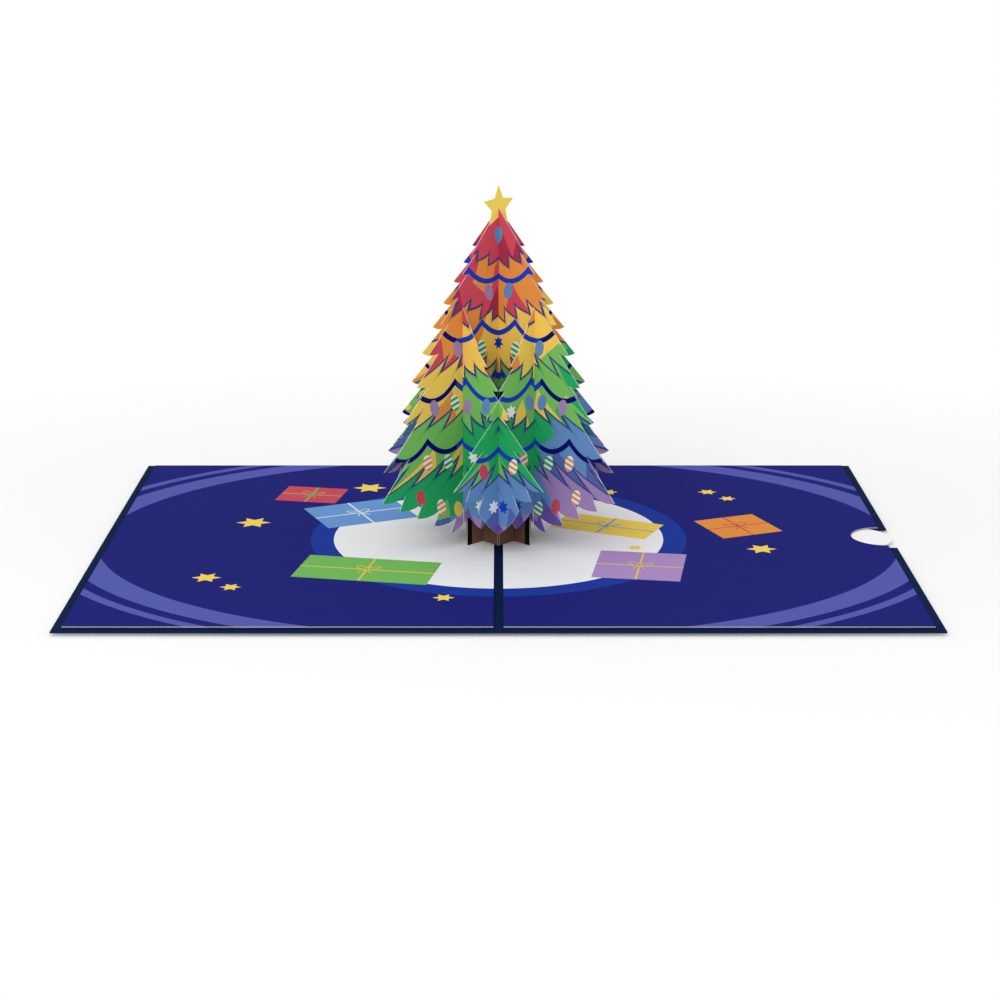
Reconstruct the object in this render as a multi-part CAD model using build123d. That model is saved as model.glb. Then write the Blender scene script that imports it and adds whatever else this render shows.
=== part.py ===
from build123d import *
import os
from math import cos, pi, sin, sqrt

# Pop-up greeting card lying open: a folded cover, two printed pages taped inside it, a tree of
# slotted paper slices that interlock and stand on the pages, and a note that slides out of a pocket.
# Millimetres. X runs across both halves, Y along the spine to the back, Z up from the table.

# Folded cover
CARD_WIDTH = 254.0
CARD_DEPTH = 178.0
COVER_THICKNESS = 0.45
SCORE_WIDTH = 0.9
SCORE_DEPTH = 0.15

# Pages and the strips of tape under them
PAGE_THICKNESS = 0.4
PAGE_SIDE_MARGIN = 2.9
PAGE_END_MARGIN = 2.4
SPINE_GAP = 2.9
TAPE_THICKNESS = 0.4
TAPE_WIDTH = 6.0
TAPE_INSET = 1.0
TAPE_FOOT_GAP = 15.0

# Thumb notch and the note in the right-hand pocket
NOTCH_RADIUS = 9.8
NOTCH_CENTRE_INSET = 3.4
NOTE_THICKNESS = 0.25
NOTE_SPINE_CLEARANCE = 17.4
NOTE_TAB_RADIUS = 10.4
NOTE_TAB_INSET = 0.2
NOTE_SIDE_CLEARANCE = 1.0
NOTE_CORNER_RADIUS = 2.0

# Paper of the tree and the lattice that it forms, with heights from the top of the pages
SLICE_THICKNESS = 0.28
SLOT_CLEARANCE = 0.1
OUTER_OFFSET = 15.75
TRUNK_OFFSET = 7.1
TRUNK_OVERLAP = 0.45
LAP_SHARE = 0.5

# Star slice and cross slice, which meet on the axis of the tree
STAR_TIP = 113.2
STAR_RADIUS = 6.6
STAR_WAIST_RADIUS = 3.1
MAIN_APEX = 106.2
MAIN_SHOULDER_HEIGHT = 93.2
MAIN_SHOULDER_REACH = 11.5
MAIN_SKIRT_REACH = 50.0
MAIN_SKIRT_HEIGHT = 21.2
MAIN_BOW = 3.2
MAIN_TOP_NOTCH = 1.8
MAIN_SKIRT_NOTCH = 8.0
MAIN_HEM_REACH = 21.2
MAIN_HEM_HEIGHT = 5.7
MAIN_BRANCHES = 9
MAIN_LEAVES = 4
TRUNK_REACH = 14.1
TRUNK_HEIGHT = 9.0

# Four outer slices, which form the small trees between the wings
OUTER_APEX = 77.5
OUTER_SHOULDER_HEIGHT = 65.5
OUTER_SHOULDER_REACH = 6.9
OUTER_SKIRT_REACH = 35.0
OUTER_SKIRT_HEIGHT = 25.0
OUTER_TOP_NOTCH = 1.0
OUTER_SKIRT_NOTCH = 7.0
OUTER_HEM_REACH = 24.6
OUTER_HEM_HEIGHT = 16.7
OUTER_HEM_LOW = 7.6
OUTER_INNER_LEAF = 8.0
OUTER_HEM_RISE = 13.0
OUTER_BRANCHES = 6
OUTER_LEAVES = 2

# Form shared by all the foliage
BRANCH_GROWTH = 0.4
LEAF_DEPTH = 4.6
LEAF_LEAN = 2.4
LEAF_BOW = 0.09

# Four trunk slices with a small crown inside the tree
CROWN_APEX = 60.0
CROWN_SHOULDER = 50.0
CROWN_NOTCH = 1.6
CROWN_TEETH = 3

# Tongues that go through the pages and fold flat under them
LEG_TONGUE_REACH = 9.8
LEG_TONGUE_WIDTH = 3.2
TRUNK_TONGUE_REACH = 4.0
TRUNK_TONGUE_WIDTH = 3.6
TONGUE_FLAP = 2.2

# Places that follow from the sizes above
PAGE_BASE = COVER_THICKNESS + TAPE_THICKNESS
PAGE_TOP = PAGE_BASE + PAGE_THICKNESS
PAGE_WIDTH = CARD_WIDTH / 2 - PAGE_SIDE_MARGIN - SPINE_GAP / 2
PAGE_DEPTH = CARD_DEPTH - 2 * PAGE_END_MARGIN
PAGE_CENTRE = SPINE_GAP / 2 + PAGE_WIDTH / 2
NOTCH_CENTRE = CARD_WIDTH / 2 - NOTCH_CENTRE_INSET
SLOT_WIDTH = SLICE_THICKNESS + SLOT_CLEARANCE
POCKET_HALF_DEPTH = PAGE_DEPTH / 2 - TAPE_INSET - TAPE_WIDTH
BOTTOM_ALIGN = (Align.CENTER, Align.CENTER, Align.MIN)
STANDING_ALIGN = (Align.CENTER, Align.MIN, Align.CENTER)
HANGING_ALIGN = (Align.CENTER, Align.MAX, Align.CENTER)


def thumb_notch():
    """Round-ended cut at the middle of the right-hand edge, through cover and page alike."""
    height = PAGE_TOP + COVER_THICKNESS
    mouth = Pos(NOTCH_CENTRE + NOTCH_RADIUS / 2, 0) * Box(NOTCH_RADIUS, 2 * NOTCH_RADIUS, 2 * height)
    return mouth + Pos(NOTCH_CENTRE, 0) * Cylinder(NOTCH_RADIUS, 2 * height)


def make_cover():
    """One sheet, scored along the spine on the inside."""
    sheet = Box(CARD_WIDTH, CARD_DEPTH, COVER_THICKNESS, align=BOTTOM_ALIGN)
    groove = Polyline(
        (-SCORE_WIDTH / 2, COVER_THICKNESS),
        (0, COVER_THICKNESS - SCORE_DEPTH),
        (SCORE_WIDTH / 2, COVER_THICKNESS),
        close=True,
    )
    score = extrude(Plane.XZ * make_face(groove), CARD_DEPTH, both=True)
    return sheet - score - thumb_notch()


def make_page(side, slits):
    """Printed page on one half, with a slit for each tongue that stands on it."""
    sheet = Pos(side * PAGE_CENTRE, 0, PAGE_BASE) * Box(
        PAGE_WIDTH, PAGE_DEPTH, PAGE_THICKNESS, align=BOTTOM_ALIGN
    )
    return sheet - thumb_notch() - slits


def make_tape(side, closed_edge):
    """Strips under a page at both ends, beside the spine clear of the tree's feet, and at a closed edge."""
    half_width = PAGE_WIDTH / 2 - TAPE_INSET
    half_depth = PAGE_DEPTH / 2 - TAPE_INSET
    spine_length = half_depth - TAPE_WIDTH - TAPE_FOOT_GAP
    strips = []
    for end in (-1, 1):
        strips.append(Pos(0, end * (half_depth - TAPE_WIDTH / 2)) * tape_strip(2 * half_width, TAPE_WIDTH))
        spine_y = end * (TAPE_FOOT_GAP + spine_length / 2)
        spine_x = -side * (half_width - TAPE_WIDTH / 2)
        strips.append(Pos(spine_x, spine_y) * tape_strip(TAPE_WIDTH, spine_length))
    if closed_edge:
        edge_length = 2 * (half_depth - TAPE_WIDTH)
        strips.append(Pos(side * (half_width - TAPE_WIDTH / 2), 0) * tape_strip(TAPE_WIDTH, edge_length))
    return Pos(side * PAGE_CENTRE, 0, COVER_THICKNESS) * (Part() + strips)


def tape_strip(length, width):
    return Box(length, width, TAPE_THICKNESS, align=BOTTOM_ALIGN)


def make_note():
    """Message card with a round thumb tab that fills the notch."""
    tab_centre = CARD_WIDTH / 2 - NOTE_TAB_INSET - NOTE_TAB_RADIUS
    length = tab_centre - NOTE_SPINE_CLEARANCE
    width = 2 * (POCKET_HALF_DEPTH - NOTE_SIDE_CLEARANCE)
    card = RectangleRounded(length, width, NOTE_CORNER_RADIUS)
    outline = Pos(tab_centre - length / 2, 0) * card + Pos(tab_centre, 0) * Circle(NOTE_TAB_RADIUS)
    return Pos(0, 0, COVER_THICKNESS) * extrude(outline, NOTE_THICKNESS)


def slice_plane(family, offset):
    """Upright plane of a slice: family 1 runs from front left to back right, family -1 across it.

    The plane's X is the way along the slice, its Y is height above the pages, and the offset is
    measured towards the back."""
    along = Vector(1, family) / sqrt(2)
    across = Vector(-family, 1) / sqrt(2)
    centre = across * offset + Vector(0, 0, PAGE_TOP)
    return Plane(origin=centre, x_dir=along, z_dir=along.cross(Vector(0, 0, 1)))


def branch_edge(shoulder, skirt, branches, notches, bow=0.0):
    """Branch tips and notches down one side, growing from the shoulder tip to the skirt tip."""
    points = []
    for number in range(branches):
        share = number / (branches - 1)
        drop = share * (1 - BRANCH_GROWTH * (1 - share))
        reach = shoulder[0] + (skirt[0] - shoulder[0]) * drop + 4 * bow * drop * (1 - drop)
        height = shoulder[1] + (skirt[1] - shoulder[1]) * drop
        points.append((reach, height))
        if number < branches - 1:
            notch = notches[0] + (notches[1] - notches[0]) * drop
            points.append((reach - notch, height))
    return points


def hem_edge(skirt, last_tip, leaves):
    """Leaf valleys and tips along the hem, which sinks from the skirt tip to the last tip."""
    points = []
    for number in range(1, leaves + 1):
        share = number / leaves
        reach = skirt[0] + (last_tip[0] - skirt[0]) * share
        height = skirt[1] + (last_tip[1] - skirt[1]) * share
        points.append((reach - LEAF_LEAN, height + LEAF_DEPTH))
        points.append((reach, height))
    return points


def outline_edge(start, end):
    """Edge of an outline: one that runs inwards above the page is a leaf's underside and bows downwards."""
    inwards = start[0] - end[0]
    if inwards > 0 and end[1] > 0:
        return SagittaArc(start, end, LEAF_BOW * inwards)
    return Line(start, end)


def both_halves(half):
    """Whole outline as a face, from the points of its right half, axis first and last."""
    edges = Curve() + [outline_edge(start, end) for start, end in zip(half, half[1:])]
    return make_face(edges + mirror(edges, about=Plane.YZ))


def main_outline():
    """Foliage with branches and hem, carried by a trunk down to the page."""
    shoulder = (MAIN_SHOULDER_REACH, MAIN_SHOULDER_HEIGHT)
    skirt = (MAIN_SKIRT_REACH, MAIN_SKIRT_HEIGHT)
    half = [(0, MAIN_APEX)]
    half += branch_edge(shoulder, skirt, MAIN_BRANCHES, (MAIN_TOP_NOTCH, MAIN_SKIRT_NOTCH), MAIN_BOW)
    half += hem_edge(skirt, (MAIN_HEM_REACH, MAIN_HEM_HEIGHT), MAIN_LEAVES)
    half += [(TRUNK_REACH, TRUNK_HEIGHT), (TRUNK_REACH, 0), (0, 0)]
    return both_halves(half)


def outer_outline():
    """Foliage of a smaller slice, with a leaf where its neighbour crosses it and one inside that."""
    shoulder = (OUTER_SHOULDER_REACH, OUTER_SHOULDER_HEIGHT)
    skirt = (OUTER_SKIRT_REACH, OUTER_SKIRT_HEIGHT)
    half = [(0, OUTER_APEX)]
    half += branch_edge(shoulder, skirt, OUTER_BRANCHES, (OUTER_TOP_NOTCH, OUTER_SKIRT_NOTCH))
    half += hem_edge(skirt, (OUTER_HEM_REACH, OUTER_HEM_HEIGHT), OUTER_LEAVES)
    half.append((OUTER_OFFSET, OUTER_HEM_LOW))
    half.append((OUTER_INNER_LEAF + LEAF_LEAN, OUTER_HEM_LOW + LEAF_DEPTH))
    half.append((OUTER_INNER_LEAF, OUTER_HEM_LOW))
    half.append((0, OUTER_HEM_RISE))
    return both_halves(half)


def trunk_outline():
    """Straight trunk with a toothed crown."""
    reach = TRUNK_OFFSET + TRUNK_OVERLAP
    half = [(0, CROWN_APEX)]
    for number in range(1, CROWN_TEETH + 1):
        share = number / CROWN_TEETH
        height = CROWN_APEX + (CROWN_SHOULDER - CROWN_APEX) * share
        half.append((reach * share, height))
        if number < CROWN_TEETH:
            half.append((reach * share - CROWN_NOTCH, height))
    half += [(reach, 0), (0, 0)]
    return both_halves(half)


def star_outline():
    """Five-pointed star that tops the star slice."""
    points = []
    for number in range(10):
        radius = STAR_WAIST_RADIUS if number % 2 else STAR_RADIUS
        angle = pi / 2 + number * pi / 5
        points.append((radius * cos(angle), STAR_TIP - STAR_RADIUS + radius * sin(angle)))
    return make_face(Polyline(*points, close=True))


def top_slot(plane, place, lap):
    """Slot from the lap height up through the slice's upper edge."""
    return plane * Pos(place, lap) * Box(SLOT_WIDTH, STAR_TIP, 3 * SLICE_THICKNESS, align=STANDING_ALIGN)


def hem_slot(plane, place, lap):
    """Slot from the lap height down through the slice's lower edge."""
    return plane * Pos(place, lap) * Box(SLOT_WIDTH, STAR_TIP, 3 * SLICE_THICKNESS, align=HANGING_ALIGN)


def without_offcuts(solid):
    """Largest body of a slotted slice, since a slot may part the very tip of a branch from it."""
    return max(solid.solids(), key=lambda body: body.volume)


def tongue(plane, place, width, flap_side):
    """Tongue through the page that ends in a flap folded flat under it."""
    post = Box(width, PAGE_THICKNESS + SLICE_THICKNESS, SLICE_THICKNESS, align=HANGING_ALIGN)
    flap = Box(width, SLICE_THICKNESS, TONGUE_FLAP, align=HANGING_ALIGN)
    return plane * Pos(place, 0) * (post + Pos(0, -PAGE_THICKNESS, flap_side * TONGUE_FLAP / 2) * flap)


def slit(plane, place, width):
    """Slit in the page that takes a tongue with the slot clearance all round."""
    return plane * Pos(place, 0) * Box(
        width + SLOT_CLEARANCE, 2 * (PAGE_THICKNESS + SLICE_THICKNESS), SLOT_WIDTH
    )


def lap_height(top):
    """Height at which two slices that cross hand the slot over from one to the other."""
    return LAP_SHARE * top


def outer_crossing_top():
    """Height of an outer slice's slanting edge where its neighbour crosses it."""
    slant = (OUTER_APEX - OUTER_SKIRT_HEIGHT) / OUTER_SKIRT_REACH
    return OUTER_APEX - slant * OUTER_OFFSET


def make_main(family, outline):
    """Star slice or cross slice with its slots and the tongues of its two legs."""
    plane = slice_plane(family, 0)
    solid = extrude(plane * outline, SLICE_THICKNESS / 2, both=True)
    axis_slot = hem_slot if family > 0 else top_slot
    solid -= axis_slot(plane, 0, lap_height(MAIN_APEX))
    for side in (-1, 1):
        solid -= hem_slot(plane, side * TRUNK_OFFSET, lap_height(CROWN_APEX))
        solid -= hem_slot(plane, side * OUTER_OFFSET, lap_height(OUTER_APEX))
        solid += tongue(plane, side * LEG_TONGUE_REACH, LEG_TONGUE_WIDTH, side)
    return without_offcuts(solid)


def make_outer(family, offset):
    """Outer slice, slotted from above for the main slice and by a half lap for its neighbours."""
    plane = slice_plane(family, offset)
    solid = extrude(plane * outer_outline(), SLICE_THICKNESS / 2, both=True)
    solid -= top_slot(plane, 0, lap_height(OUTER_APEX))
    neighbour_slot = hem_slot if family > 0 else top_slot
    for side in (-1, 1):
        solid -= neighbour_slot(plane, side * OUTER_OFFSET, lap_height(outer_crossing_top()))
    return without_offcuts(solid)


def make_trunk(family, offset):
    """Trunk slice, which stands on one page by a tongue on its side away from the spine."""
    plane = slice_plane(family, offset)
    solid = extrude(plane * trunk_outline(), SLICE_THICKNESS / 2, both=True)
    solid -= top_slot(plane, 0, lap_height(CROWN_APEX))
    neighbour_slot = hem_slot if family > 0 else top_slot
    for side in (-1, 1):
        solid -= neighbour_slot(plane, side * TRUNK_OFFSET, lap_height(CROWN_SHOULDER))
    place, outward = trunk_foot(family, offset)
    return solid + tongue(plane, place, TRUNK_TONGUE_WIDTH, outward)


def trunk_foot(family, offset):
    """Place of a trunk slice's tongue along the slice, and the side of the plane that faces outwards."""
    behind = 1 if offset > 0 else -1
    return -family * behind * TRUNK_TONGUE_REACH, -behind


def page_slits(side):
    """Slits for the two legs and the two trunk slices that stand on one page."""
    cuts = []
    for family in (1, -1):
        cuts.append(slit(slice_plane(family, 0), side * LEG_TONGUE_REACH, LEG_TONGUE_WIDTH))
        offset = -side * family * TRUNK_OFFSET
        place, _ = trunk_foot(family, offset)
        cuts.append(slit(slice_plane(family, offset), place, TRUNK_TONGUE_WIDTH))
    return cuts


pieces = {
    "cover": make_cover(),
    "left_page": make_page(-1, page_slits(-1)),
    "right_page": make_page(1, page_slits(1)),
    "left_page_tape": make_tape(-1, closed_edge=True),
    "right_page_tape": make_tape(1, closed_edge=False),
    "note_card": make_note(),
    "star_slice": make_main(1, main_outline() + star_outline()),
    "cross_slice": make_main(-1, main_outline()),
    "front_right_slice": make_outer(1, -OUTER_OFFSET),
    "back_left_slice": make_outer(1, OUTER_OFFSET),
    "front_left_slice": make_outer(-1, -OUTER_OFFSET),
    "back_right_slice": make_outer(-1, OUTER_OFFSET),
    "front_right_trunk": make_trunk(1, -TRUNK_OFFSET),
    "back_left_trunk": make_trunk(1, TRUNK_OFFSET),
    "front_left_trunk": make_trunk(-1, -TRUNK_OFFSET),
    "back_right_trunk": make_trunk(-1, TRUNK_OFFSET),
}

os.makedirs("parts", exist_ok=True)
for name, solid in pieces.items():
    export_step(solid, f"parts/{name}.step")
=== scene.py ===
"""Looks of a pop-up greeting card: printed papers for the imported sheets, motifs on the pages, and a stage."""

from math import cos, e, pi, radians, sin, sqrt
from typing import NamedTuple

import bmesh
import bpy
from bpy.props import FloatProperty, FloatVectorProperty, PointerProperty
from mathutils import Matrix, Vector


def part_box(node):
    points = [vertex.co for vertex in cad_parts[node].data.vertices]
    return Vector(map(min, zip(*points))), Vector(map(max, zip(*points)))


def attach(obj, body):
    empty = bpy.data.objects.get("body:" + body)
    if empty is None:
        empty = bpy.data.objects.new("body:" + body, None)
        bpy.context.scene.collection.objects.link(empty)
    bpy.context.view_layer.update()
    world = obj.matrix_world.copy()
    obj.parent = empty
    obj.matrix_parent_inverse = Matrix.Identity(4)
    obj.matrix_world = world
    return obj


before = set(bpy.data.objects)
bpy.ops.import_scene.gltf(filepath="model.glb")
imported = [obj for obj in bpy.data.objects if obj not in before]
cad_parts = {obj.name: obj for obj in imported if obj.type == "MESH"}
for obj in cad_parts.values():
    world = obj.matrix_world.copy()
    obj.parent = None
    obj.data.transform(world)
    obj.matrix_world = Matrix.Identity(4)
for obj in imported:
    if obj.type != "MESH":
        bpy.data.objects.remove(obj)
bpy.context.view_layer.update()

bl_info = {
    "name": "Pop-up card looks",
    "version": (1, 0, 0),
    "blender": (4, 5, 0),
    "location": "3D View > Sidebar > Card",
    "description": "Dresses the packed sheets of a pop-up card in printed paper and sets the stage",
    "category": "Object",
}

MM = 0.001
PAGE_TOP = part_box("left_page")[1][2]
UP = (0, 0, 1)


class SheetForm(NamedTuple):
    """Outline of a foliage sheet in millimetres, with heights from the top of the pages."""

    apex: float
    skirt_reach: float
    skirt_height: float
    hem_reach: float
    hem_height: float
    leaf_depth: float

    def hem_slope(self):
        return (self.skirt_height - self.hem_height) / (self.skirt_reach - self.hem_reach)

    def edge_slope(self):
        return self.skirt_reach / (self.apex - self.skirt_height)


LARGE_FORM = SheetForm(
    apex=106.2, skirt_reach=50.0, skirt_height=21.2, hem_reach=21.2, hem_height=5.7, leaf_depth=4.6
)
SMALL_FORM = SheetForm(
    apex=77.5, skirt_reach=35.0, skirt_height=25.0, hem_reach=15.75, hem_height=7.6, leaf_depth=4.6
)

# Way along each foliage sheet in plan, 1 from front left to back right and -1 across it, and its outline
FOLIAGE_SHEETS = {
    "star_slice": (1, LARGE_FORM),
    "cross_slice": (-1, LARGE_FORM),
    "front_right_slice": (1, SMALL_FORM),
    "back_left_slice": (1, SMALL_FORM),
    "front_left_slice": (-1, SMALL_FORM),
    "back_right_slice": (-1, SMALL_FORM),
}
# Way along each trunk sheet in plan
TRUNK_SHEETS = {
    "front_right_trunk": 1,
    "back_left_trunk": 1,
    "front_left_trunk": -1,
    "back_right_trunk": -1,
}

# Inks of the parcels, ribbons and stars on the pages
PAGE_INKS = ["red", "orange", "gold", "leaf_green", "parcel_blue", "parcel_lilac", "white", "star_gold"]
# Parcels on the pages, in millimetres and degrees: centre, size, turn, wrap and ribbon
PARCELS = (
    (-64.3, 48.4, 21.3, 17.8, -11.0, "red", "leaf_green"),
    (-46.1, 26.5, 31.7, 24.8, 24.0, "parcel_blue", "white"),
    (-40.4, -34.7, 42.3, 22.1, -11.0, "leaf_green", "gold"),
    (35.4, 11.6, 33.4, 17.6, -25.0, "star_gold", "parcel_blue"),
    (78.5, 11.2, 21.6, 20.8, 22.0, "orange", "red"),
    (43.6, -30.8, 27.0, 27.2, -9.0, "parcel_lilac", "gold"),
)
# Stars on the pages, in millimetres: centre and reach
PAGE_STARS = (
    (-44.8, 56.8, 5.8),
    (-80.7, 15.1, 5.7),
    (-88.7, -42.6, 4.5),
    (-80.3, -51.6, 3.3),
    (-16.2, -61.4, 3.3),
    (38.0, 51.6, 3.3),
    (72.2, 51.6, 3.3),
    (78.3, 43.5, 3.0),
    (83.3, -13.8, 4.8),
    (43.3, -12.4, 2.8),
)
PAGE_STAR_POINTS = 6
PAGE_STAR_WAIST = 0.52  # of the reach

# Bows of the parcels
BOW_LINE = 0.55  # of the ribbon's width
LOOP_WIDTH = 0.5  # of a loop's length
LOOP_TURN = 50  # degrees
LOOP_SEGMENTS = 28
TAIL_LENGTH = 0.8  # of a loop's length
TAIL_TURN = 32  # degrees

# Fronds on the tree
LAST_TIER = 4
TIER_OVER_TIPS = 0.7  # of a tier's spacing
TIER_STAGGER = 0.37  # of a frond, from tier to tier
FROND_WIDENING = 0.03  # on each millimetre outwards
FROND_MEAN_WIDTH = 1.4  # over the pitch
FROND_TIP = 0.8  # of the way across a frond
FROND_BULGE = 0.8  # power of the rise to the tip
SHORTEST_FROND = 0.6  # of the full length
VALLEY_LINE = 1.6  # over the line's width at a tip
SHADOW_REACH = 2.4  # in line widths
FROND_SHADOW = (0.84, 0.84, 0.88)

# Sprays of fronds that share one hue, some with tips of a second tone
SPRAY_WIDTH = 1.9  # in fronds
SPRAY_TIP = 0.7  # of the way across a spray
SPRAY_ROOT = 3  # millimetres
SPRAY_LENGTH = 9  # millimetres
SPRAY_STAGGER = 0.43  # of a spray, from tier to tier
SHEET_STAGGER = 0.29  # of a spray, from sheet to sheet
SECOND_TONE_SHARE = 0.5
HUES_PER_TIER = 1.1
HUE_SPREAD = 0.4
TIP_SPREAD = 4  # millimetres

# Garlands, counted from 0 at the top
LAST_GARLAND = 3
SWAG_START = 4.4  # millimetres
SWAG_STAGGER = 5.7  # millimetres, from garland to garland
WING_START = 13  # millimetres from the tree's middle plane

# Motifs under the garlands
MOTIFS_PER_SWAG = 2
FIRST_WARM_GARLAND = 3
CREASE_SHARE = 0.4  # of a motif's part of a swag
EDGE_MARGIN = 0.9  # of the way to a sheet's edge
MOTIF_ROOM = 0.85  # of a bauble's reach, to each side
BAUBLE_WIDTH = 0.7  # over its height
BAUBLE_LEAN = 0.2
HANG_SPREAD = 2.4  # millimetres
STRIPES_UPWARDS = 0.55  # on each millimetre
STRIPES_SIDEWAYS = 0.16  # on each millimetre

# Stars on the tree
PRINTED_STAR_POINTS = 7
PRINTED_STAR_WAIST = 0.55  # of the reach
TOP_STAR_POINTS = 5
TOP_STAR_WAIST = 0.48  # of the reach

# Numbers that keep the draws of chance apart
SPRAY_DRAW = 81
HANG_DRAW = 70
PICK_DRAW = 40
HALF_DRAW = 3

# Bark and crown of the trunk sheets
STREAKS = 0.31  # on each millimetre
STREAK_SWAY = 0.08  # of the way between streaks
STREAK_SWAY_RATE = 0.4  # radians on each millimetre
STREAK_SHARE = 0.12
STREAK_TONE = 0.7
CROWN_LEAF_WIDTH = 3  # millimetres
CROWN_LEAF_HEIGHT = 4  # millimetres

# Fibres, mottle, gloss and relief of the papers
FIBRE_SCALE = 2200
FIBRE_DETAIL = 4
FIBRE_TONE = 0.08
MOTTLE_SCALE = 90
MOTTLE_DETAIL = 3
MOTTLE_TONE = 0.06
DARKEST_TONE = 0.93
ROUGHNESS_SPREAD = 0.16
PAPER_GLOSS = 0.015
RELIEF_STRENGTH = 0.25
RELIEF_DEPTH = 0.03 * MM
CLOUD_TONE = 0.94
CLOUD_RATES = (0.05, 0.03)  # radians on each millimetre

# Lamp and floor
KEY_PLACE = (-0.3, -1.0, 0.88)  # metres
KEY_SIZE = 0.9  # metres
FLOOR_REACH = 8  # metres
FLOOR_PALE = (0.82, 0.82, 0.82)
FLOOR_GLOW = 0.17
FADE_START = 95  # millimetres
FADE_RUN = 160  # millimetres
FADE_STRETCH = 2

# Sockets of a Mix node of colours
MIX_MASK = 0
MIX_UNDER = 6
MIX_OVER = 7
MIX_RESULT = 2


def linear(code):
    """Linear colour of a hex code."""
    parts = [int(code[start : start + 2], 16) / 255 for start in (1, 3, 5)]
    return tuple(part / 12.92 if part <= 0.04045 else ((part + 0.055) / 1.055) ** 2.4 for part in parts)


def ink(name, description, code):
    return FloatVectorProperty(
        name=name, description=description, subtype="COLOR", size=3, min=0, max=1, default=linear(code)
    )


def length(name, description, millimetres):
    return FloatProperty(name=name, description=description, unit="LENGTH", default=millimetres * MM)


def ratio(name, description, default):
    return FloatProperty(name=name, description=description, default=default)


class CardInks(bpy.types.PropertyGroup):
    """Inks of the prints, and the bare papers."""

    cover: ink("Cover", "Dark card of the cover", "#0e2146")
    page: ink("Page ground", "Ground of both pages", "#1f2375")
    band: ink("Corner bands", "Oval bands in the pages' corners", "#565cae")
    ring: ink("Ring", "Ring around the disc", "#1f3a9c")
    white: ink("White", "Disc and white motifs", "#f1f1f3")
    note: ink("Note", "Plain paper of the note", "#fcfcfd")
    cut_edge: ink("Cut edge", "Bare paper at the cut edges", "#eceae6")
    tape: ink("Tape", "Foam tape under the pages", "#dcdad4")
    red: ink("Red", "First hue of the tree, a parcel and a ribbon", "#cc4d5e")
    orange: ink("Orange", "Second hue of the tree, and a parcel", "#e59243")
    gold: ink("Gold", "Third hue of the tree, and ribbons", "#f2cb5b")
    star_gold: ink("Star gold", "Top star, the stars on the pages and a parcel", "#f8d75d")
    leaf_green: ink("Leaf green", "Fourth hue of the tree, a parcel and a ribbon", "#77bd5f")
    green: ink("Green", "Fifth hue of the tree", "#28a862")
    steel_blue: ink("Steel blue", "Sixth hue of the tree", "#648dc0")
    lilac: ink("Lilac", "Last hue of the tree", "#a184b6")
    deep_red: ink("Deep red", "Darker fronds among the red ones", "#a8324c")
    indigo: ink("Indigo", "Darker fronds among the blue ones", "#5465a8")
    violet: ink("Violet", "Darker fronds among the lilac ones", "#6552a0")
    parcel_blue: ink("Parcel blue", "Wrap of one parcel and a ribbon", "#6c9ad6")
    parcel_lilac: ink("Parcel lilac", "Wrap of one parcel", "#b292ca")
    outline: ink("Outline", "Line along the printed fronds", "#33427f")
    royal_blue: ink("Royal blue", "Garlands near the middle and blue stars", "#1c3fb6")
    navy: ink("Navy", "Garlands on the wings", "#0c1268")
    bark: ink("Bark", "Trunk", "#725642")
    # Painted shade: a near-black strip on the outer edge of each leg of the large sheets, standing in for the
    # deep shade beside the trunk
    painted_leg_shade: ink("Leg edge", "Dark strip along the outer edge of each leg", "#14110f")
    crown: ink("Crown", "Dark crown inside the tree", "#0d4a26")


class TreePrint(bpy.types.PropertyGroup):
    """Sizes of the print on the tree, with heights from the top of the pages."""

    tier_top: length("First tier", "Height of the frond tips of the first tier", 86.5)
    tier_spacing: length("Tier spacing", "Height from one tier to the next", 17.1)
    tier_rise: length("Tier rise", "Height that a tier gains from a sheet's middle outwards", 4.5)
    tier_run: length("Tier run", "Way from a sheet's middle over which a tier rises", 13.0)
    frond_pitch: length("Frond pitch", "Width of a frond at a sheet's middle", 4.0)
    frond_depth: length("Frond depth", "Height of a frond of the first tier from valley to tip", 4.4)
    depth_gain: length("Depth gain", "Height that the fronds gain from tier to tier", 0.8)
    frond_lean: ratio("Frond lean", "Outward lean at a sheet's middle", 0.15)
    lean_gain: ratio("Lean gain", "Lean gained on each millimetre outwards", 0.03)
    line_width: length("Line width", "Line along the fronds", 0.45)
    hue_run: length("Hue run", "Way along a sheet over which the hue moves on by one", 33.0)
    tip_height: length("Tip height", "Height under which the leaves of the hem take the next hue", 10.0)
    garland_width: length("Garland width", "Width of a garland", 1.6)
    swag_pitch: length("Swag pitch", "Way from one hanging point of a garland to the next", 17.5)
    swag_sag: length("Swag sag", "Sag of a garland between hanging points", 4.6)
    swag_top: length("Swag top", "Height of the first garland's hanging points", 88.5)
    motif_drop: length("Motif drop", "Height from a hanging point to the middle of a motif", 7.8)
    bauble_reach: length("Bauble", "Half the height of a bauble", 2.6)
    crossing: length("Crossing", "Way from a sheet's middle to the sheets beside it that cross it", 15.75)
    motif_star_reach: length("Printed star", "Reach of a printed star", 2.4)
    bark_reach: length("Bark reach", "Half the width of the bark on the large sheets", 12.0)
    # The painted leg shade reaches out to here
    leg_reach: length("Leg reach", "Half the width of the legs of the large sheets", 14.2)
    bark_height: length("Bark height", "Height of the bark on the large sheets", 9.1)
    star_height: length("Star height", "Height of the top star's middle", 106.6)
    star_reach: length("Star reach", "Reach of the top star", 6.8)
    crown_foot: length("Crown foot", "Height where a trunk sheet turns from bark to crown", 40.0)


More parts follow.
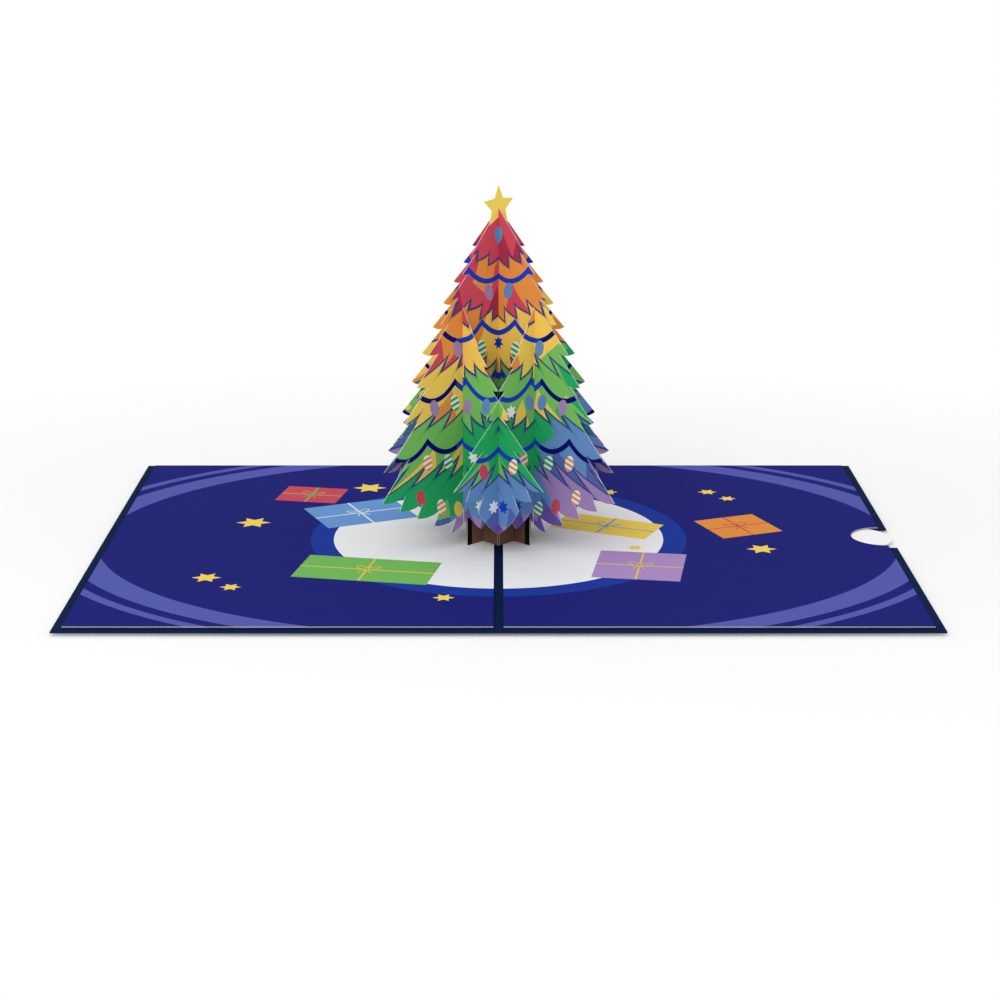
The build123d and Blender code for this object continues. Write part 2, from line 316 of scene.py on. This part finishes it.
class PagePrint(bpy.types.PropertyGroup):
    """Sizes of the print on the pages."""

    disc_radius: length("Disc", "Radius of the white disc", 53.0)
    ring_radius: length("Ring", "Outer radius of the ring", 60.4)
    oval_stretch: ratio("Oval stretch", "Width of the ovals over their depth", 1.34)
    wide_band_start: length("Wide band start", "Half depth of the oval where the wide band starts", 95.5)
    wide_band_end: length("Wide band end", "Half depth of the oval where the wide band ends", 103.2)
    thin_band_start: length("Thin band start", "Half depth of the oval where the thin band starts", 106.6)
    thin_band_end: length("Thin band end", "Half depth of the oval where the thin band ends", 109.4)
    ribbon_width: length("Ribbon", "Width of a parcel's ribbon", 0.58)
    bow_reach: length("Bow", "Length of one loop of a bow", 5.0)
    film: length("Print film", "Thickness of one layer of a motif", 0.02)


class CardStage(bpy.types.PropertyGroup):
    """Camera, light and floor."""

    camera_distance: length("Camera distance", "Way from the tree's axis to the camera", 657.5)
    camera_height: length("Camera height", "Height of the camera", 204.8)
    camera_pitch: FloatProperty(
        name="Camera pitch", description="Downward tilt", unit="ROTATION", default=radians(16.23)
    )
    lens: ratio("Lens", "Focal length in millimetres", 76.75)
    key_power: FloatProperty(
        name="Key power", description="Power of the large soft lamp", unit="POWER", default=8.0
    )
    sky_strength: ratio("Sky strength", "Light from all around", 0.72)
    floor_drop: length("Floor drop", "Gap under the card, whose paper doesn't lie quite flat", 1.0)


class CardLooks(bpy.types.PropertyGroup):
    """All settings of the card's looks."""

    inks: PointerProperty(type=CardInks)
    tree: PointerProperty(type=TreePrint)
    pages: PointerProperty(type=PagePrint)
    stage: PointerProperty(type=CardStage)


class Field:
    """A value of a shader: arithmetic on it adds Math nodes."""

    def __init__(self, socket):
        self.socket = socket
        self.tree = socket.id_data

    def __add__(self, other):
        return calc("ADD", self, other)

    def __radd__(self, other):
        return calc("ADD", other, self)

    def __sub__(self, other):
        return calc("SUBTRACT", self, other)

    def __rsub__(self, other):
        return calc("SUBTRACT", other, self)

    def __mul__(self, other):
        return calc("MULTIPLY", self, other)

    def __rmul__(self, other):
        return calc("MULTIPLY", other, self)

    def __truediv__(self, other):
        return calc("DIVIDE", self, other)

    def __lt__(self, other):
        return calc("LESS_THAN", self, other)

    def __gt__(self, other):
        return calc("GREATER_THAN", self, other)

    def __abs__(self):
        return calc("ABSOLUTE", self)


def connect(value, slot):
    """Links a field to a socket, or sets a plain value on it."""
    if isinstance(value, Field):
        slot.id_data.links.new(value.socket, slot)
    else:
        slot.default_value = value


def calc(operation, *values):
    tree = next(value.tree for value in values if isinstance(value, Field))
    node = tree.nodes.new("ShaderNodeMath")
    node.operation = operation
    for value, slot in zip(values, node.inputs):
        connect(value, slot)
    return Field(node.outputs[0])


def floor_of(value):
    return calc("FLOOR", value)


def rest_of(value):
    return calc("FRACT", value)


def root_of(value):
    return calc("SQRT", value)


def sign_of(value):
    return calc("SIGN", value)


def larger(value, other):
    return calc("MAXIMUM", value, other)


def within(value, low, high):
    return calc("MINIMUM", larger(value, low), high)


def paint(under, colour, mask, blend="MIX"):
    """Colour laid over another, or blended into it, where the mask is 1."""
    node = mask.tree.nodes.new("ShaderNodeMix")
    node.data_type = "RGBA"
    node.blend_type = blend
    connect(mask, node.inputs[MIX_MASK])
    for value, slot in ((under, node.inputs[MIX_UNDER]), (colour, node.inputs[MIX_OVER])):
        connect(value if isinstance(value, Field) else (*value, 1), slot)
    return Field(node.outputs[MIX_RESULT])


def steps(value, colours):
    """Fields of even width from 0 to 1, one for each colour."""
    node = value.tree.nodes.new("ShaderNodeValToRGB")
    node.color_ramp.interpolation = "CONSTANT"
    stops = node.color_ramp.elements
    while len(stops) < len(colours):
        stops.new(0.5)
    for number, colour in enumerate(colours):
        stops[number].position = number / len(colours)
        stops[number].color = (*colour, 1)
    connect(value, node.inputs[0])
    return Field(node.outputs[0])


def chance(first, second, third):
    """Number from 0 to 1 that is the same for the same three numbers."""
    place = first.tree.nodes.new("ShaderNodeCombineXYZ")
    for value, slot in zip((first, second, third), place.inputs):
        connect(value, slot)
    noise = first.tree.nodes.new("ShaderNodeTexWhiteNoise")
    first.tree.links.new(place.outputs[0], noise.inputs["Vector"])
    return Field(noise.outputs["Value"])


def star_mask(sideways, upwards, points, reach, waist):
    """1 inside a star whose first point is straight up."""
    sector = 2 * pi / points
    radius = root_of(sideways * sideways + upwards * upwards)
    turn = calc("ARCTAN2", sideways, upwards) / sector
    fold = abs(rest_of(turn + 0.5) - 0.5) * sector
    tip = Vector((reach, 0))
    notch = Vector((waist * cos(sector / 2), waist * sin(sector / 2)))
    edge = notch - tip
    towards = radius * calc("COSINE", fold)
    beside = radius * calc("SINE", fold)
    return (towards - tip.x) * edge.y - beside * edge.x < 0


def sheet_fields(tree, turn):
    """Object coordinates in millimetres, turned about Z, with heights from the top of the pages."""
    place = tree.nodes.new("ShaderNodeTexCoord")
    mapping = tree.nodes.new("ShaderNodeMapping")
    mapping.inputs["Rotation"].default_value = (0, 0, turn)
    mapping.inputs["Scale"].default_value = (1 / MM, 1 / MM, 1 / MM)
    mapping.inputs["Location"].default_value = (0, 0, -PAGE_TOP / MM)
    parts = tree.nodes.new("ShaderNodeSeparateXYZ")
    tree.links.new(place.outputs["Object"], mapping.inputs["Vector"])
    tree.links.new(mapping.outputs[0], parts.inputs[0])
    return [Field(output) for output in parts.outputs]


def noise_field(tree, place, scale, detail):
    node = tree.nodes.new("ShaderNodeTexNoise")
    node.inputs["Scale"].default_value = scale
    node.inputs["Detail"].default_value = detail
    tree.links.new(place.outputs["Object"], node.inputs["Vector"])
    return Field(node.outputs["Fac"])


def paper(name, colour_rule, face_axis, edge_colour, edge_share=0.6, roughness=0.75, grain=1.0):
    """Paper with fibres: a rule colours its faces, and its cut edges take a share of another colour."""
    material = bpy.data.materials.new(name)
    material.use_nodes = True
    tree = material.node_tree
    shader = tree.nodes["Principled BSDF"]
    place = tree.nodes.new("ShaderNodeTexCoord")
    facing = tree.nodes.new("ShaderNodeVectorMath")
    facing.operation = "DOT_PRODUCT"
    facing.inputs[1].default_value = face_axis
    tree.links.new(place.outputs["Normal"], facing.inputs[0])
    cut = abs(Field(facing.outputs["Value"])) < 0.5
    colour = paint(colour_rule(tree), edge_colour, cut * edge_share)
    fibre = noise_field(tree, place, FIBRE_SCALE, FIBRE_DETAIL)
    mottle = noise_field(tree, place, MOTTLE_SCALE, MOTTLE_DETAIL)
    tint = tree.nodes.new("ShaderNodeHueSaturation")
    connect(DARKEST_TONE + FIBRE_TONE * fibre + MOTTLE_TONE * mottle, tint.inputs["Value"])
    connect(colour, tint.inputs["Color"])
    tree.links.new(tint.outputs[0], shader.inputs["Base Color"])
    smoothest = roughness - ROUGHNESS_SPREAD / 2
    connect(smoothest + ROUGHNESS_SPREAD * mottle, shader.inputs["Roughness"])
    shader.inputs["Specular IOR Level"].default_value = PAPER_GLOSS
    bump = tree.nodes.new("ShaderNodeBump")
    bump.inputs["Strength"].default_value = RELIEF_STRENGTH * grain
    bump.inputs["Distance"].default_value = RELIEF_DEPTH
    connect(fibre, bump.inputs["Height"])
    tree.links.new(bump.outputs[0], shader.inputs["Normal"])
    return material


def plain_ink(colour):
    """Rule for a sheet of one ink with a faint cloudiness from the press."""

    def rule(tree):
        across, deep, _ = sheet_fields(tree, 0)
        wave = calc("SINE", across * CLOUD_RATES[0] + deep * CLOUD_RATES[1])
        cloud = within(0.5 + 0.5 * wave, 0, 1)
        return paint(colour, [part * CLOUD_TONE for part in colour], cloud)

    return rule


def dress(node, material):
    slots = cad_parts[node].data.materials
    slots.clear()
    slots.append(material)


def looks_of(context):
    return context.scene.card_looks


def across_axis(way):
    """Direction that the faces of an upright sheet look in."""
    return (-way / sqrt(2), 1 / sqrt(2), 0)


def hues(inks):
    """Rainbow of the tree from its top to its hem, and the second tone of each hue."""
    rainbow = ["red", "orange", "gold", "leaf_green", "green", "steel_blue", "lilac", "lilac"]
    seconds = ["deep_red", "red", "orange", "gold", "leaf_green", "indigo", "violet", "violet"]
    return [[getattr(inks, name) for name in names] for names in (rainbow, seconds)]


def spike(way, tip):
    """Slope up from 0 to 1 at the tip, and a drop back to 0 where the way ends at 1."""
    return calc("MINIMUM", way / tip, (1 - way) / (1 - tip))


def frond_fields(along, height, seed, tree_print):
    """Tiers of fronds on one sheet, whose tips lean further outwards on its wings, as fields by name."""
    pitch = tree_print.frond_pitch / MM
    top = tree_print.tier_top / MM
    spacing = tree_print.tier_spacing / MM
    reach = abs(along)
    half = sign_of(along)
    lean = tree_print.frond_lean + reach * tree_print.lean_gain

    def run_of(fall):
        slid = reach - lean * fall
        return calc("LOGARITHM", 1 + slid * FROND_WIDENING, e) / (FROND_WIDENING * pitch)

    level = height - within(reach / (tree_print.tier_run / MM), 0, 1) * (tree_print.tier_rise / MM)
    edge = within(floor_of((top - level) / spacing + TIER_OVER_TIPS), 0, LAST_TIER)
    depth = tree_print.frond_depth / MM + edge * (tree_print.depth_gain / MM)
    drop = level - top + edge * spacing
    run = run_of(depth - drop) + edge * TIER_STAGGER
    frond = floor_of(run)
    way = run - frond
    length_share = SHORTEST_FROND + (1 - SHORTEST_FROND) * chance(frond, edge, half + seed)
    tooth = calc("POWER", spike(way, FROND_TIP), FROND_BULGE) * length_share
    gap = drop - depth * (1 - tooth)
    below = gap < 0
    flank = FROND_TIP - (way > FROND_TIP) * (2 * FROND_TIP - 1)
    slope = depth / (FROND_MEAN_WIDTH * pitch) / flank
    stretch = root_of(1 + slope * slope)
    taper = VALLEY_LINE - (VALLEY_LINE - 1) * tooth
    line = stretch * taper * (tree_print.line_width / MM / 2)

    tier = edge + below
    own_drop = drop + below * spacing
    spray_run = run_of(depth - own_drop) / SPRAY_WIDTH + tier * SPRAY_STAGGER + seed * SHEET_STAGGER
    spray = floor_of(spray_run)
    spray_way = spray_run - spray
    spray_luck = chance(spray, tier + SPRAY_DRAW, half + seed)
    spray_edge = SPRAY_ROOT + SPRAY_LENGTH * spike(spray_way, SPRAY_TIP)
    return {
        "tier": tier,
        "line": abs(gap) < line,
        "shadow": below * (gap > -SHADOW_REACH * line),
        "second": (spray_luck < SECOND_TONE_SHARE) * (own_drop < spray_edge),
        "heart": reach - (spray_way - 0.5) * (SPRAY_WIDTH * pitch),
        "luck": spray_luck,
    }


def garland_fields(along, height, tree_print):
    """Garland nearest to each place on a sheet, as fields by name."""
    spacing = tree_print.tier_spacing / MM
    sag = tree_print.swag_sag / MM
    pitch = tree_print.swag_pitch / MM
    top = tree_print.swag_top / MM
    number = within(floor_of((top - sag - height) / spacing + 0.5), -1, LAST_GARLAND + 1)
    over = height - top + number * spacing
    run = (abs(along) + SWAG_START + number * SWAG_STAGGER) / pitch
    way = rest_of(run)
    slope = (1 - 2 * way) * (4 * sag / pitch)
    away = abs(over + 4 * sag * way * (1 - way)) / root_of(1 + slope * slope)
    return {"number": number, "run": run, "away": away, "over": over}


def motif_fields(along, height, garland, seed, form, tree_print):
    """Motif nearest to each place on a sheet, one to each half swag, as fields by name."""
    spacing = tree_print.tier_spacing / MM
    cell_width = tree_print.swag_pitch / MM / MOTIFS_PER_SWAG
    crossing = tree_print.crossing / MM
    reach = tree_print.bauble_reach / MM
    half_width = MOTIF_ROOM * reach
    cell_run = garland["run"] * MOTIFS_PER_SWAG + 0.5
    cell = floor_of(cell_run)
    cell_middle = abs(along) - (cell_run - cell - 0.5) * cell_width
    if form is LARGE_FORM:
        # Near the crease, where the large sheets cross, both print the same motif around it
        apart = cell_middle > CREASE_SHARE * cell_width
        middle = cell_middle * apart
        own_seed = (sign_of(along) * HALF_DRAW + seed) * apart + len(FOLIAGE_SHEETS)
        room = cell_middle > -cell_width
    else:
        middle = larger(cell_middle, half_width)
        own_seed = sign_of(along) * HALF_DRAW + (seed + len(FOLIAGE_SHEETS))
        room = cell_middle > 0
    # A motif moves beside the sheet that crosses here, and up from the leaves of the hem
    past = middle - crossing
    middle = sign_of(past) * larger(abs(past), half_width) + crossing
    luck = chance(cell, garland["number"] + HANG_DRAW, own_seed)
    hang = tree_print.motif_drop / MM + HANG_SPREAD * (luck - 0.5)
    hem = form.hem_height + form.hem_slope() * larger(middle - form.hem_reach, 0)
    level = larger(height - garland["over"] - hang, hem + (form.leaf_depth + reach))
    band_top = height - garland["over"] + spacing / 2 - tree_print.swag_sag / MM
    edge = EDGE_MARGIN * form.edge_slope() * (form.apex - level)
    return {
        "sideways": abs(along) - middle,
        "upwards": height - level,
        "room": room * (level + reach < band_top) * (middle + half_width < edge),
        "pick": chance(cell, garland["number"] + PICK_DRAW, own_seed),
    }


def motif_colour(under, motif, garland, looks):
    """Baubles, striped baubles and stars under the garlands, where a whole one has room."""
    inks = looks.inks
    reach = looks.tree.bauble_reach / MM
    star_reach = looks.tree.motif_star_reach / MM
    sideways = motif["sideways"]
    upwards = motif["upwards"]
    pick = motif["pick"]
    leaning = (sideways - BAUBLE_LEAN * upwards) / (BAUBLE_WIDTH * reach)
    bauble = leaning * leaning + upwards * upwards / reach**2 < 1
    star = star_mask(sideways, upwards, PRINTED_STAR_POINTS, star_reach, PRINTED_STAR_WAIST * star_reach)

    plain_cool = [inks.lilac, inks.steel_blue, inks.lilac, inks.steel_blue]
    plain_warm = [inks.red, inks.gold, inks.red, inks.gold]
    striped_cool = [inks.green, inks.green]
    striped_warm = [inks.green, inks.orange]
    stars = [inks.white, inks.royal_blue]
    cool = plain_cool + striped_cool + stars
    warm = plain_warm + striped_warm + stars
    first_striped = len(plain_cool) / len(cool)
    first_star = 1 - len(stars) / len(cool)
    colour = paint(steps(pick, cool), steps(pick, warm), garland["number"] > FIRST_WARM_GARLAND - 0.5)
    stripe = rest_of(upwards * STRIPES_UPWARDS + sideways * STRIPES_SIDEWAYS) < 0.5
    colour = paint(colour, inks.white, (pick > first_striped) * (pick < first_star) * stripe)
    is_star = pick > first_star
    return paint(under, colour, motif["room"] * (bauble * (1 - is_star) + star * is_star))


def foliage_rule(way, seed, form, starred, looks):
    """Rule for a foliage sheet: rainbow tiers of fronds, garlands and what hangs from them."""
    inks = looks.inks
    tree_print = looks.tree
    large = form is LARGE_FORM

    def rule(tree):
        along, _, height = sheet_fields(tree, -way * pi / 4)
        side = sheet_fields(tree, 0)[0]
        fronds = frond_fields(along, height, seed, tree_print)
        rainbow, seconds = hues(inks)
        if large:
            sweep = fronds["heart"] * sign_of(along)
        else:
            sweep = abs(side) + fronds["heart"] - abs(along)
        tips = height < tree_print.tip_height / MM + TIP_SPREAD * fronds["luck"]
        hue = fronds["tier"] * HUES_PER_TIER + sweep / (tree_print.hue_run / MM)
        hue = hue + HUE_SPREAD * (fronds["luck"] - 0.5) + tips
        colour = steps(hue / len(rainbow), rainbow)
        colour = paint(colour, steps(hue / len(seconds), seconds), fronds["second"])
        colour = paint(colour, FROND_SHADOW, fronds["shadow"], "MULTIPLY")
        colour = paint(colour, inks.outline, fronds["line"])
        garland = garland_fields(along, height, tree_print)
        strand = (garland["number"] > -0.5) * (garland["number"] < LAST_GARLAND + 0.5)
        strand = strand * (garland["away"] < tree_print.garland_width / MM / 2)
        colour = paint(colour, paint(inks.royal_blue, inks.navy, abs(side) > WING_START), strand)
        motif = motif_fields(along, height, garland, seed, form, tree_print)
        colour = motif_colour(colour, motif, garland, looks)
        if large:
            foot = height < tree_print.bark_height / MM
            # Painted shade: a near-black strip on each leg's outer edge, with the bark laid over its inner part
            colour = paint(colour, inks.painted_leg_shade, foot * (abs(along) < tree_print.leg_reach / MM))
            colour = paint(colour, inks.bark, foot * (abs(along) < tree_print.bark_reach / MM))
        if starred:
            reach = tree_print.star_reach / MM
            upwards = height - tree_print.star_height / MM
            star = star_mask(along, upwards, TOP_STAR_POINTS, reach, TOP_STAR_WAIST * reach)
            colour = paint(colour, inks.star_gold, star)
        return colour

    return rule


def trunk_rule(way, looks):
    """Rule for a trunk sheet: streaked bark with a dark green crown."""
    inks = looks.inks

    def rule(tree):
        along, _, height = sheet_fields(tree, -way * pi / 4)
        sway = STREAK_SWAY * calc("SINE", height * STREAK_SWAY_RATE)
        streak = rest_of(along * STREAKS + sway) < STREAK_SHARE
        colour = paint(inks.bark, [part * STREAK_TONE for part in inks.bark], streak)
        leaf = abs(rest_of(along / CROWN_LEAF_WIDTH) - 0.5) * (2 * CROWN_LEAF_HEIGHT)
        return paint(colour, inks.crown, height > looks.tree.crown_foot / MM + leaf)

    return rule


def page_rule(looks):
    """Rule for a page: ground, oval bands in the corners, ring and disc."""
    inks = looks.inks
    pages = looks.pages

    def rule(tree):
        across, deep, _ = sheet_fields(tree, 0)
        oval = root_of(across * across / pages.oval_stretch**2 + deep * deep)
        radius = root_of(across * across + deep * deep)
        wide = (oval > pages.wide_band_start / MM) * (oval < pages.wide_band_end / MM)
        thin = (oval > pages.thin_band_start / MM) * (oval < pages.thin_band_end / MM)
        colour = paint(inks.page, inks.band, wide + thin)
        colour = paint(colour, inks.ring, radius < pages.ring_radius / MM)
        return paint(colour, inks.white, radius < pages.disc_radius / MM)

    return rule


def place_on_page(centre, turn):
    return Matrix.Translation((centre[0] * MM, centre[1] * MM, PAGE_TOP)) @ Matrix.Rotation(turn, 4, "Z")


def add_film(mesh, verts, thickness, slot):
    """Gives the flat faces of these vertices an ink and the thickness of a printed film."""
    faces = list({face for vert in verts for face in vert.link_faces})
    for face in faces:
        face.material_index = slot
    grown = bmesh.ops.extrude_face_region(mesh, geom=faces)["geom"]
    tops = [item for item in grown if isinstance(item, bmesh.types.BMVert)]
    bmesh.ops.translate(mesh, verts=tops, vec=(0, 0, thickness))


def add_strip(mesh, place, offset, size, thickness, slot):
    """Flat rectangle on the page."""
    shape = place @ Matrix.Translation((*offset, 0)) @ Matrix.Diagonal((size[0] / 2, size[1] / 2, 1, 1))
    verts = bmesh.ops.create_grid(mesh, x_segments=1, y_segments=1, size=1, matrix=shape)["verts"]
    add_film(mesh, verts, thickness, slot)


def add_loop(mesh, place, size, line, thickness, slot):
    """Flat oval loop on the page."""
    rims = []
    for trim in (0, line):
        shape = place @ Matrix.Diagonal((size[0] / 2 - trim, size[1] / 2 - trim, 1, 1))
        rims.append(bmesh.ops.create_circle(mesh, segments=LOOP_SEGMENTS, radius=1, matrix=shape)["verts"])
    edges = {edge for rim in rims for vert in rim for edge in vert.link_edges}
    bmesh.ops.bridge_loops(mesh, edges=list(edges))
    add_film(mesh, rims[0] + rims[1], thickness, slot)


def add_star(mesh, place, reach, thickness, slot):
    """Flat star on the page."""
    shape = place @ Matrix.Scale(reach, 4)
    corners = 2 * PAGE_STAR_POINTS
    verts = bmesh.ops.create_circle(mesh, cap_ends=True, segments=corners, radius=1, matrix=shape)["verts"]
    middle = place.translation
    for vert in verts[1::2]:
        vert.co = middle + (vert.co - middle) * PAGE_STAR_WAIST
    add_film(mesh, verts, thickness, slot)


def finish_piece(mesh, name, materials, body):
    """Turns a bmesh into an object that rides on a body."""
    bmesh.ops.recalc_face_normals(mesh, faces=mesh.faces)
    data = bpy.data.meshes.new(name)
    mesh.to_mesh(data)
    mesh.free()
    for material in materials:
        data.materials.append(material)
    piece = bpy.data.objects.new(name, data)
    bpy.context.scene.collection.objects.link(piece)
    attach(piece, body)


class CARD_OT_cover_and_note(bpy.types.Operator):
    """Dress the cover, the tape and the note in plain papers"""

    bl_idname = "popup_card.cover_and_note"
    bl_label = "Cover, tape and note"

    def execute(self, context):
        inks = looks_of(context).inks
        cover = paper("Cover card", plain_ink(inks.cover), UP, inks.cover)
        note = paper("Note paper", plain_ink(inks.note), UP, inks.cut_edge)
        tape = paper("Foam tape", plain_ink(inks.tape), UP, inks.tape, roughness=0.8, grain=3)
        dress("cover", cover)
        dress("note_card", note)
        dress("left_page_tape", tape)
        dress("right_page_tape", tape)
        return {"FINISHED"}


class CARD_OT_pages(bpy.types.Operator):
    """Print the pages' ground, bands, ring and disc"""

    bl_idname = "popup_card.pages"
    bl_label = "Pages"

    def execute(self, context):
        looks = looks_of(context)
        page = paper("Page print", page_rule(looks), UP, looks.inks.cut_edge, edge_share=0.4)
        dress("left_page", page)
        dress("right_page", page)
        return {"FINISHED"}


class CARD_OT_page_motifs(bpy.types.Operator):
    """Print parcels with ribbons and bows, and stars, on the pages"""

    bl_idname = "popup_card.page_motifs"
    bl_label = "Parcels and stars"

    def execute(self, context):
        looks = looks_of(context)
        pages = looks.pages
        materials = []
        for name in PAGE_INKS:
            colour = getattr(looks.inks, name)
            materials.append(paper(f"Page ink {name}", plain_ink(colour), UP, colour))
        parcels = bmesh.new()
        for x, y, width, depth, turn, wrap, ribbon in PARCELS:
            place = place_on_page((x, y), radians(turn))
            size = Vector((width, depth)) * MM
            add_strip(parcels, place, (0, 0), size, pages.film, PAGE_INKS.index(wrap))
            self.add_ribbons(parcels, place, size, pages, PAGE_INKS.index(ribbon))
        finish_piece(parcels, "page_parcels", materials, "card")
        stars = bmesh.new()
        for x, y, reach in PAGE_STARS:
            add_star(stars, place_on_page((x, y), pi / PAGE_STAR_POINTS), reach * MM, pages.film, 0)
        finish_piece(stars, "page_stars", [materials[PAGE_INKS.index("star_gold")]], "card")
        return {"FINISHED"}

    def add_ribbons(self, mesh, place, size, pages, slot):
        """Ribbon cross with a bow of two loops and two ends."""
        width = pages.ribbon_width
        bow = pages.bow_reach
        line = BOW_LINE * width
        cross_film = 2 * pages.film
        bow_film = 3 * pages.film
        add_strip(mesh, place, (0, 0), (size.x, width), cross_film, slot)
        add_strip(mesh, place, (0, 0), (width, size.y), cross_film, slot)
        for side in (-1, 1):
            loop = place @ Matrix.Rotation(radians(90 - side * LOOP_TURN), 4, "Z")
            loop = loop @ Matrix.Translation((bow / 2, 0, 0))
            add_loop(mesh, loop, (bow, LOOP_WIDTH * bow), line, bow_film, slot)
            tail = place @ Matrix.Rotation(radians(-90 + side * TAIL_TURN), 4, "Z")
            tail_length = TAIL_LENGTH * bow
            add_strip(mesh, tail, (tail_length / 2, 0), (tail_length, line), bow_film, slot)


class CARD_OT_tree(bpy.types.Operator):
    """Print the foliage sheets of the tree"""

    bl_idname = "popup_card.tree"
    bl_label = "Foliage sheets"

    def execute(self, context):
        looks = looks_of(context)
        bare = looks.inks.cut_edge
        for seed, (node, (way, form)) in enumerate(FOLIAGE_SHEETS.items()):
            rule = foliage_rule(way, seed, form, node == "star_slice", looks)
            dress(node, paper(f"Foliage print {node}", rule, across_axis(way), bare, edge_share=0.45))
        return {"FINISHED"}


class CARD_OT_trunk(bpy.types.Operator):
    """Print the trunk sheets"""

    bl_idname = "popup_card.trunk"
    bl_label = "Trunk sheets"

    def execute(self, context):
        looks = looks_of(context)
        bare = looks.inks.cut_edge
        for way in (1, -1):
            rule = trunk_rule(way, looks)
            bark = paper(f"Trunk print {way}", rule, across_axis(way), bare, edge_share=0.25)
            for node, own_way in TRUNK_SHEETS.items():
                if own_way == way:
                    dress(node, bark)
        return {"FINISHED"}


class CARD_OT_stage(bpy.types.Operator):
    """Set the floor, the light and the camera"""

    bl_idname = "popup_card.stage"
    bl_label = "Stage"

    def execute(self, context):
        stage = looks_of(context).stage
        self.set_world(context, stage)
        self.add_floor(context, stage)
        self.add_lamp(context, stage)
        self.add_camera(context, stage)
        context.scene.view_settings.view_transform = "Standard"
        return {"FINISHED"}

    def background_rays(self, tree):
        """1 for rays that should meet a white backdrop."""
        path = tree.nodes.new("ShaderNodeLightPath")
        names = ("Is Camera Ray", "Is Glossy Ray", "Is Transmission Ray")
        seen = Field(path.outputs[names[0]])
        for name in names[1:]:
            seen = larger(seen, Field(path.outputs[name]))
        return seen

    def set_world(self, context, stage):
        world = bpy.data.worlds.new("Studio")
        world.use_nodes = True
        tree = world.node_tree
        sky = tree.nodes["Background"]
        seen = self.background_rays(tree)
        connect(seen + (1 - seen) * stage.sky_strength, sky.inputs["Strength"])
        sky.inputs["Color"].default_value = (1, 1, 1, 1)
        context.scene.world = world

    def add_floor(self, context, stage):
        """Pale floor that shows the card's shadow, and fades to white away from the card."""
        mesh = bmesh.new()
        bmesh.ops.create_grid(mesh, x_segments=1, y_segments=1, size=FLOOR_REACH)
        bmesh.ops.translate(mesh, verts=mesh.verts, vec=(0, 0, -stage.floor_drop))
        data = bpy.data.meshes.new("floor")
        mesh.to_mesh(data)
        mesh.free()
        floor = bpy.data.objects.new("floor", data)
        context.scene.collection.objects.link(floor)
        material = bpy.data.materials.new("Floor")
        material.use_nodes = True
        tree = material.node_tree
        shader = tree.nodes["Principled BSDF"]
        seen = self.background_rays(tree)
        across, deep, _ = sheet_fields(tree, 0)
        away = root_of(across * across / FADE_STRETCH + deep * deep)
        far = within((away - FADE_START) / FADE_RUN, 0, 1)
        connect(paint(FLOOR_PALE, (0, 0, 0), seen * far), shader.inputs["Base Color"])
        shader.inputs["Roughness"].default_value = 0.9
        shader.inputs["Specular IOR Level"].default_value = 0.0
        shader.inputs["Emission Color"].default_value = (1, 1, 1, 1)
        connect(seen * (FLOOR_GLOW + (1 - FLOOR_GLOW) * far), shader.inputs["Emission Strength"])
        data.materials.append(material)

    def add_lamp(self, context, stage):
        light = bpy.data.lights.new("Key lamp", "AREA")
        light.energy = stage.key_power
        light.size = KEY_SIZE
        lamp = bpy.data.objects.new("Key lamp", light)
        aim = Vector(KEY_PLACE).to_track_quat("Z", "Y").to_matrix().to_4x4()
        lamp.matrix_world = Matrix.Translation(KEY_PLACE) @ aim
        context.scene.collection.objects.link(lamp)

    def add_camera(self, context, stage):
        camera = bpy.data.cameras.new("Camera")
        camera.lens = stage.lens
        camera.sensor_width = 36
        camera.shift_x = 0.0015
        camera.clip_start = 0.01
        holder = bpy.data.objects.new("Camera", camera)
        holder.location = (0, -stage.camera_distance, stage.camera_height)
        holder.rotation_euler = (pi / 2 - stage.camera_pitch, 0, 0)
        context.scene.collection.objects.link(holder)
        context.scene.camera = holder


class CARD_PT_looks(bpy.types.Panel):
    """Operators and settings of the card's looks"""

    bl_idname = "CARD_PT_looks"
    bl_label = "Pop-up card"
    bl_space_type = "VIEW_3D"
    bl_region_type = "UI"
    bl_category = "Card"

    def draw(self, context):
        for operator in OPERATORS:
            self.layout.operator(operator.bl_idname)
        looks = looks_of(context)
        for group in (looks.inks, looks.tree, looks.pages, looks.stage):
            box = self.layout.box()
            for name in group.__annotations__:
                box.prop(group, name)


OPERATORS = (
    CARD_OT_cover_and_note,
    CARD_OT_pages,
    CARD_OT_page_motifs,
    CARD_OT_tree,
    CARD_OT_trunk,
    CARD_OT_stage,
)
CLASSES = (CardInks, TreePrint, PagePrint, CardStage, CardLooks, *OPERATORS, CARD_PT_looks)


def register():
    for each in CLASSES:
        bpy.utils.register_class(each)
    bpy.types.Scene.card_looks = PointerProperty(type=CardLooks)


def unregister():
    del bpy.types.Scene.card_looks
    for each in reversed(CLASSES):
        bpy.utils.unregister_class(each)


def main():
    register()
    bpy.ops.popup_card.cover_and_note()
    bpy.ops.popup_card.pages()
    bpy.ops.popup_card.page_motifs()
    bpy.ops.popup_card.tree()
    bpy.ops.popup_card.trunk()
    bpy.ops.popup_card.stage()


if __name__ == "__main__":
    main()
